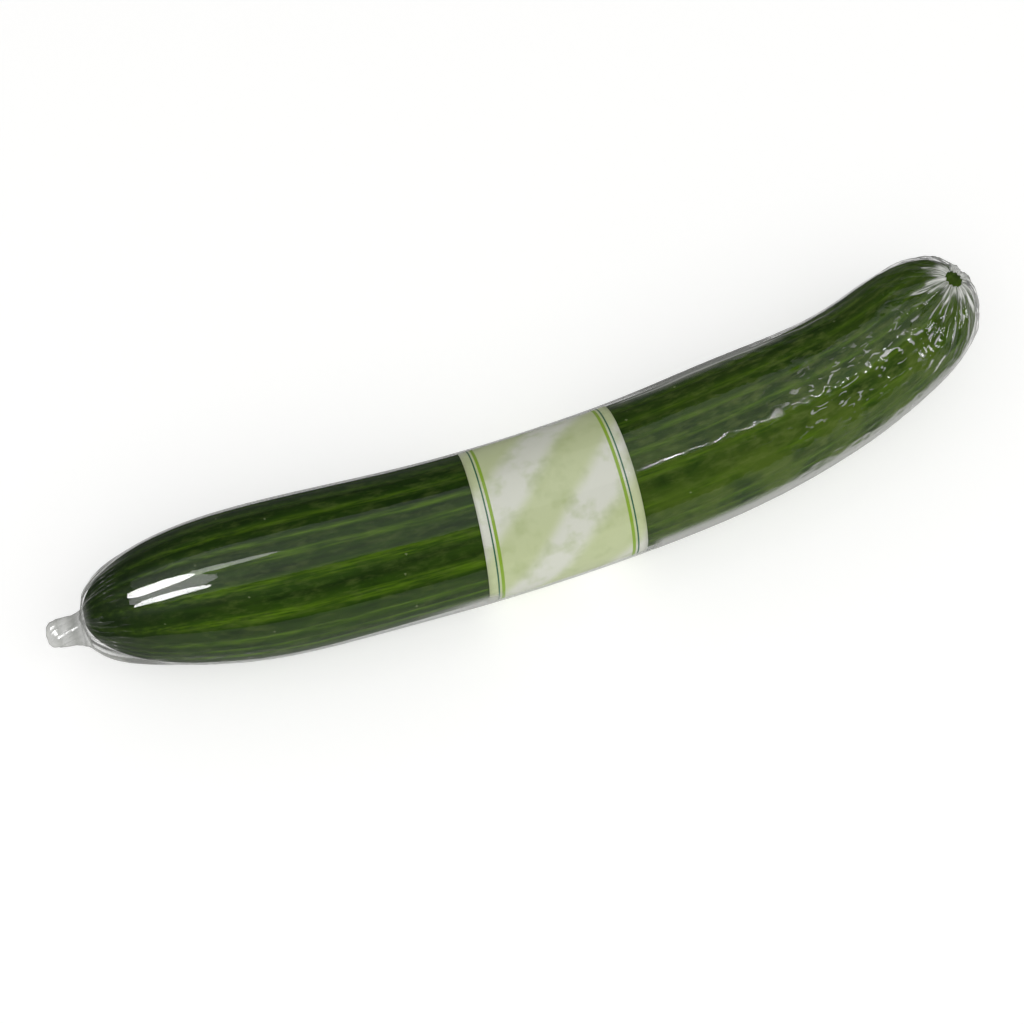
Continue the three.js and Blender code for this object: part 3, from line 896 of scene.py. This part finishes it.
# %% The coated surface
# Coating gives the eye a soft satin sheen and hides most of the fibres. Real fibres are a few
# hundredths of a millimetre wide. They are drawn about ten times coarser to show at all.
FIBRE_SIZE, FIBRE_DEPTH = 0.4, 0.03
fibres = add_node(tree, "TexNoise", "Fac", {
    "Vector": on_paper, "Scale": 1 / FIBRE_SIZE, "Detail": 3.0,
})
paper_bump = add_node(tree, "Bump", "Normal", {
    "Height": fibres, "Strength": 0.2, "Distance": FIBRE_DEPTH * MM,
})
paper_roughness = add_node(tree, "MapRange", "Result", {
    "Value": fibres, "To Min": 0.45, "To Max": 0.62,
})
paper_shader = add_node(tree, "BsdfPrincipled", "BSDF", {
    "Base Color": printed, "Roughness": paper_roughness, "IOR": 1.47, "Normal": paper_bump,
})
add_node(tree, "OutputMaterial", None, {"Surface": paper_shader})
band.data.materials.append(paper)
print(paper.name, len(tree.nodes), "nodes")

# %% [markdown]
# ## Shrink film
#
# The film is clear polyolefin, a few hundredths of a millimetre thick. It bends no light, so a
# refracting glass would be wrong. It is a sheet that lets light pass, with a mirror on top that
# grows stronger towards the edge. Where it lies in layers a milky share covers what is under it.
# The same share carries painted glints on the creases and painted shade along the edge.

# %% Clear and mirroring film
# Blown film gives the eye sharp small mirrorings, which its ripples and crinkles break up.
FILM_IOR = 1.5
CRINKLE_SIZE, CRINKLE_DEPTH = 1.9, 0.15
RIPPLE_SIZE, RIPPLE_DEPTH = 8.0, 0.2

clear_film, tree = new_material("clear_polyolefin_film")
place = add_node(tree, "Attribute", "Vector", attribute_name="straight")
milky_and_glint_share = add_node(tree, "Attribute", "Fac", attribute_name="milky")
pucker_share = add_node(tree, "Attribute", "Fac", attribute_name="pucker")
crinkles = add_node(tree, "TexNoise", "Fac", {
    "Vector": place, "Scale": 1 / CRINKLE_SIZE, "Detail": 2.0,
})
crinkle_strength = add_node(tree, "MapRange", "Result", {
    "Value": pucker_share, "To Max": 0.4,
})
ripples = add_node(tree, "TexNoise", "Fac", {
    "Vector": place, "Scale": 1 / RIPPLE_SIZE, "Detail": 1.0,
})
rippled = add_node(tree, "Bump", "Normal", {
    "Height": ripples, "Strength": 0.25, "Distance": RIPPLE_DEPTH * MM,
})
crinkled = add_node(tree, "Bump", "Normal", {
    "Height": crinkles, "Strength": crinkle_strength, "Distance": CRINKLE_DEPTH * MM,
    "Normal": rippled,
})
front = add_node(tree, "Math", "Value", {
    "Value": 1.0, "Value_001": add_node(tree, "NewGeometry", "Backfacing"),
}, operation="SUBTRACT")
mirror_share = add_node(tree, "Math", "Value", {
    "Value": add_node(tree, "Fresnel", "Fac", {"IOR": FILM_IOR, "Normal": crinkled}),
    "Value_001": front,
}, operation="MULTIPLY")
see_through = add_node(tree, "BsdfTransparent", "BSDF")
mirror = add_node(tree, "BsdfAnisotropic", "BSDF", {
    "Roughness": 0.04, "Normal": crinkled,
})
clear = add_node(tree, "MixShader", "Shader", {
    "Fac": mirror_share, "Shader": see_through, "Shader_001": mirror,
})
print(clear_film.name, "clear part")

# %% Streaks in the star, and thin white crest lines that are painted glints
FINE_RAYS_ROUND, RAY_LENGTH = 15.0, 16.0
GLINT_LINE_LENGTH, GLINT_LINE_ACROSS, GLINT_LINE_HALF = 8.0, 2.4, 0.02
PATCH_LENGTH, PATCH_ACROSS = 4.5, 2.2
rays = add_node(tree, "Attribute", "Vector", attribute_name="rays")
fine_ray_place = add_node(tree, "Mapping", "Vector", {
    "Vector": rays, "Scale": (FINE_RAYS_ROUND, FINE_RAYS_ROUND, 1 / RAY_LENGTH),
})
fine_rays = add_node(tree, "TexNoise", "Fac", {
    "Vector": fine_ray_place, "Scale": 1.0, "Detail": 3.0,
})
streaks = add_node(tree, "MapRange", "Result", {
    "Value": fine_rays, "From Min": 0.38, "From Max": 0.6, "To Min": 0.12, "To Max": 1.0,
})
streaked_star = add_node(tree, "Math", "Value", {
    "Value": add_node(tree, "Attribute", "Fac", attribute_name="star"),
    "Value_001": streaks,
}, operation="MULTIPLY")
glint_line_place = add_node(tree, "Mapping", "Vector", {
    "Vector": place, "Scale": (1 / GLINT_LINE_LENGTH, 1 / GLINT_LINE_ACROSS, 1 / GLINT_LINE_ACROSS),
})
glint_line_noise = add_node(tree, "TexNoise", "Fac", {
    "Vector": glint_line_place, "Scale": 1.0, "Detail": 1.0,
})
on_glint_line = add_node(tree, "Math", "Value", {
    "Value": glint_line_noise, "Value_001": 0.5, "Value_002": GLINT_LINE_HALF,
}, operation="COMPARE")
patch_place = add_node(tree, "Mapping", "Vector", {
    "Vector": place, "Scale": (1 / PATCH_LENGTH, 1 / PATCH_ACROSS, 1 / PATCH_ACROSS),
})
patches = add_node(tree, "MapRange", "Result", {
    "Value": add_node(tree, "TexNoise", "Fac", {
        "Vector": patch_place, "Scale": 1.0, "Detail": 1.0,
    }),
    "From Min": 0.51, "From Max": 0.57,
})
broken_glint_lines = add_node(tree, "Math", "Value", {
    "Value": on_glint_line, "Value_001": patches,
}, operation="MULTIPLY")
painted_glint_crests = add_node(tree, "Math", "Value", {
    "Value": broken_glint_lines,
    "Value_001": add_node(tree, "Attribute", "Fac", attribute_name="painted_glints"),
}, operation="MULTIPLY")
fine_milk_and_glints = add_node(tree, "Math", "Value", {
    "Value": streaked_star, "Value_001": painted_glint_crests,
}, operation="MAXIMUM")
milk_and_painted_glints = add_node(tree, "Math", "Value", {
    "Value": milky_and_glint_share, "Value_001": fine_milk_and_glints,
}, operation="MAXIMUM")
whiteness = add_node(tree, "Math", "Value", {
    "Value": add_node(tree, "Attribute", "Fac", attribute_name="white"),
    "Value_001": painted_glint_crests,
}, operation="MAXIMUM")
print(clear_film.name, "streaks and crests")

# %% The milky share, in the folds and towards the edge
# Film in layers scatters light: white where it is folded. The grey where it is only seen at a slant
# is partly that haze and partly painted shade along the rim. The painted glints take the white too.
MILK_AND_GLINT_WHITE, EDGE_HAZE_AND_SHADE = linear("#e2e3de"), linear("#868882")
turned_away = add_node(tree, "LayerWeight", "Facing", {"Blend": 0.5})
thin_edge = add_node(tree, "MapRange", "Result", {
    "Value": turned_away, "From Min": 0.86, "From Max": 0.98, "To Max": 0.6,
}, interpolation_type="SMOOTHSTEP")
wide_edge = add_node(tree, "MapRange", "Result", {
    "Value": turned_away, "From Min": 0.5, "From Max": 0.66, "To Max": 0.85,
}, interpolation_type="SMOOTHSTEP")
loose_edge = add_node(tree, "Math", "Value", {
    "Value": wide_edge,
    "Value_001": add_node(tree, "Attribute", "Fac", attribute_name="loose"),
}, operation="MULTIPLY")
towards_edge = add_node(tree, "Math", "Value", {
    "Value": thin_edge, "Value_001": loose_edge,
}, operation="MAXIMUM")
scattering_and_painted_light = add_node(tree, "Math", "Value", {
    "Value": milk_and_painted_glints, "Value_001": towards_edge,
}, operation="MAXIMUM")
front_milk_and_painted_light = add_node(tree, "Math", "Value", {
    "Value": scattering_and_painted_light, "Value_001": front,
}, operation="MULTIPLY")
# The grey is painted shade at the rim; the white is milky film and painted glints.
milk_glint_and_shade_colour = add_node(tree, "Mix", "Result_Color", {
    "Factor_Float": whiteness, "A_Color": EDGE_HAZE_AND_SHADE, "B_Color": MILK_AND_GLINT_WHITE,
}, data_type="RGBA")
milky_and_painted_light_film = add_node(tree, "BsdfPrincipled", "BSDF", {
    "Base Color": milk_glint_and_shade_colour, "Roughness": 0.2, "IOR": FILM_IOR, "Normal": crinkled,
})
film_shader = add_node(tree, "MixShader", "Shader", {
    "Fac": front_milk_and_painted_light, "Shader": clear, "Shader_001": milky_and_painted_light_film,
})
add_node(tree, "OutputMaterial", None, {"Surface": film_shader})
film.data.materials.append(clear_film)
print(clear_film.name, len(tree.nodes), "nodes")

# %% [markdown]
# ## Floor and room
#
# The object lies on a pale sheet. The room is bright for everything that scatters light, and dark
# for what is mirrored, so that the film shows only the lamps and the sheet, as in a studio with
# black walls. The mirrored sheet is dimmed as well, more behind the object than in front of it. A
# level floor is enough, because the camera looks down on it.

# %% Make the floor and the room
FLOOR_SIZE, FLOOR_DROP, FLOOR_GLOW = 12.0, 0.2 * MM, 0.55
DIMMED_FRONT, DIMMED_BACK, DIMMED_BORDER = 0.55, 0.9, 0.03
SHEET_WHITE, GLOW_WHITE, MIRRORED_GREY = linear("#cfcfcd"), linear("#ffffff"), linear("#202020")
ROOM_LIGHT, ROOM_MIRRORED, ROOM_SEEN = 0.6, 0.04, 0.93

bm = bmesh.new()
bmesh.ops.create_grid(bm, x_segments=1, y_segments=1, size=FLOOR_SIZE / 2)
bmesh.ops.translate(bm, verts=bm.verts, vec=(0, 0, -FLOOR_DROP))
floor_mesh = bpy.data.meshes.new("studio_floor")
bm.to_mesh(floor_mesh)
bm.free()
floor = bpy.data.objects.new("studio_floor", floor_mesh)
bpy.context.scene.collection.objects.link(floor)
matt_sheet, tree = new_material("matt_white_sheet")
sheet_shader = add_node(tree, "BsdfPrincipled", "BSDF", {
    "Base Color": SHEET_WHITE, "Roughness": 0.9,
    "Emission Color": GLOW_WHITE, "Emission Strength": FLOOR_GLOW,
})
mirrored_sheet = add_node(tree, "BsdfDiffuse", "BSDF", {"Color": MIRRORED_GREY})
floor_place = add_node(tree, "TexCoord", "Object")
dimmed = add_node(tree, "MapRange", "Result", {
    "Value": add_node(tree, "SeparateXYZ", "Y", {"Vector": floor_place}),
    "From Min": -DIMMED_BORDER, "From Max": DIMMED_BORDER,
    "To Min": DIMMED_FRONT, "To Max": DIMMED_BACK,
})
mirrored = add_node(tree, "Math", "Value", {
    "Value": add_node(tree, "LightPath", "Is Glossy Ray"), "Value_001": dimmed,
}, operation="MULTIPLY")
dimmed_sheet = add_node(tree, "MixShader", "Shader", {
    "Fac": mirrored, "Shader": sheet_shader, "Shader_001": mirrored_sheet,
})
add_node(tree, "OutputMaterial", None, {"Surface": dimmed_sheet})
floor_mesh.materials.append(matt_sheet)

world = bpy.data.worlds.new("studio_room")
world.use_nodes = True
tree = world.node_tree
tree.nodes.clear()
ray = add_node(tree, "LightPath").outputs
scattered = add_node(tree, "MapRange", "Result", {
    "Value": ray["Is Glossy Ray"], "To Min": ROOM_LIGHT, "To Max": ROOM_MIRRORED,
})
room_light = add_node(tree, "Mix", "Result_Float", {
    "Factor_Float": ray["Is Camera Ray"], "A_Float": scattered, "B_Float": ROOM_SEEN,
})
background = add_node(tree, "Background", "Background", {"Strength": room_light})
add_node(tree, "OutputWorld", None, {"Surface": background})
bpy.context.scene.world = world
bpy.context.scene.view_settings.view_transform = "Standard"
print("floor and room made")

# %% [markdown]
# ## Lamps
#
# A broad panel overhead draws the wide pale zone along the top of the film. Two bright tubes over
# the stem end draw the pair of streaks there, and a row of small bulbs over the other end makes
# the puckers sparkle. All of these are only mirrored, and light nothing. One fill lamp in front,
# which the film doesn't mirror, lights the surfaces together with the room.

# %% Hang the lamps
BULBS, BULB_SIZE, BULB_RADIANCE = 28, (0.014, 0.02), 60
BULB_FIRST, BULB_LAST, BULB_Y, BULB_HEIGHT = 0.245, 0.9, -0.36, 1.05


def lamp(name, shape, middle, size, radiance, lights_surfaces=False, faces=(0, 0, -1)):
    """A flat lamp, with its radiance turned into the power that Blender takes."""
    light = bpy.data.lights.new(name, "AREA")
    light.shape = shape
    light.size, light.size_y = size
    round_share = math.pi / 4 if shape == "ELLIPSE" else 1
    light.energy = radiance * math.pi * size[0] * size[1] * round_share
    hung = bpy.data.objects.new(name, light)
    hung.location = middle
    hung.rotation_euler = Vector(faces).to_track_quat("-Z", "Y").to_euler()
    hung.visible_diffuse = lights_surfaces
    hung.visible_glossy = not lights_surfaces
    hung.visible_camera = False
    bpy.context.scene.collection.objects.link(hung)


lamp("fill", "RECTANGLE", (0.0, -0.75, 1.15), (2.2, 1.1), 1.05, True, faces=(0, 0.75, -1.15))
lamp("panel", "RECTANGLE", (0.0, 0.28, 1.25), (2.3, 1.6), 0.65)
lamp("stem_softbox", "ELLIPSE", (-0.82, 0.02, 1.07), (0.9, 0.6), 4)
lamp("far_tube", "ELLIPSE", (-0.82, 0.2, 1.05), (0.8, 0.3), 26)
lamp("far_tail", "ELLIPSE", (-0.55, 0.22, 1.06), (1.0, 0.14), 6)
lamp("near_tube", "ELLIPSE", (-0.84, -0.22, 1.05), (0.8, 0.2), 26)
lamp("blossom_softbox", "RECTANGLE", (1.05, -0.78, 0.5), (0.3, 0.3), 16, faces=(-1.05, 0.78, -0.5))
for number, bulb_x in enumerate(np.linspace(BULB_FIRST, BULB_LAST, BULBS)):
    lamp(f"bulb_{number}", "ELLIPSE", (bulb_x, BULB_Y, BULB_HEIGHT), BULB_SIZE, BULB_RADIANCE)

# %% [markdown]
# ## Camera
#
# The camera looks down steeply from the stem end's side, with a long lens, so the fruit runs up
# the picture from the lower left to the upper right.

# %% Set up the camera
CAMERA_AIM = Vector((-7.95, -3.64, 24.0)) * MM
CAMERA_DISTANCE, CAMERA_FIELD = 1136 * MM, math.radians(16)
CAMERA_AZIMUTH, CAMERA_ELEVATION = math.radians(-21.5), math.radians(65.5)
back = Vector((
    math.sin(CAMERA_AZIMUTH) * math.cos(CAMERA_ELEVATION),
    -math.cos(CAMERA_AZIMUTH) * math.cos(CAMERA_ELEVATION),
    math.sin(CAMERA_ELEVATION),
))
camera_data = bpy.data.cameras.new("camera")
camera_data.sensor_fit = "HORIZONTAL"
camera_data.angle = CAMERA_FIELD
camera = bpy.data.objects.new("camera", camera_data)
camera.location = CAMERA_AIM + back * CAMERA_DISTANCE
camera.rotation_euler = back.to_track_quat("Z", "Y").to_euler()
bpy.context.scene.collection.objects.link(camera)
bpy.context.scene.camera = camera
print("camera at", [round(value, 3) for value in camera.location])
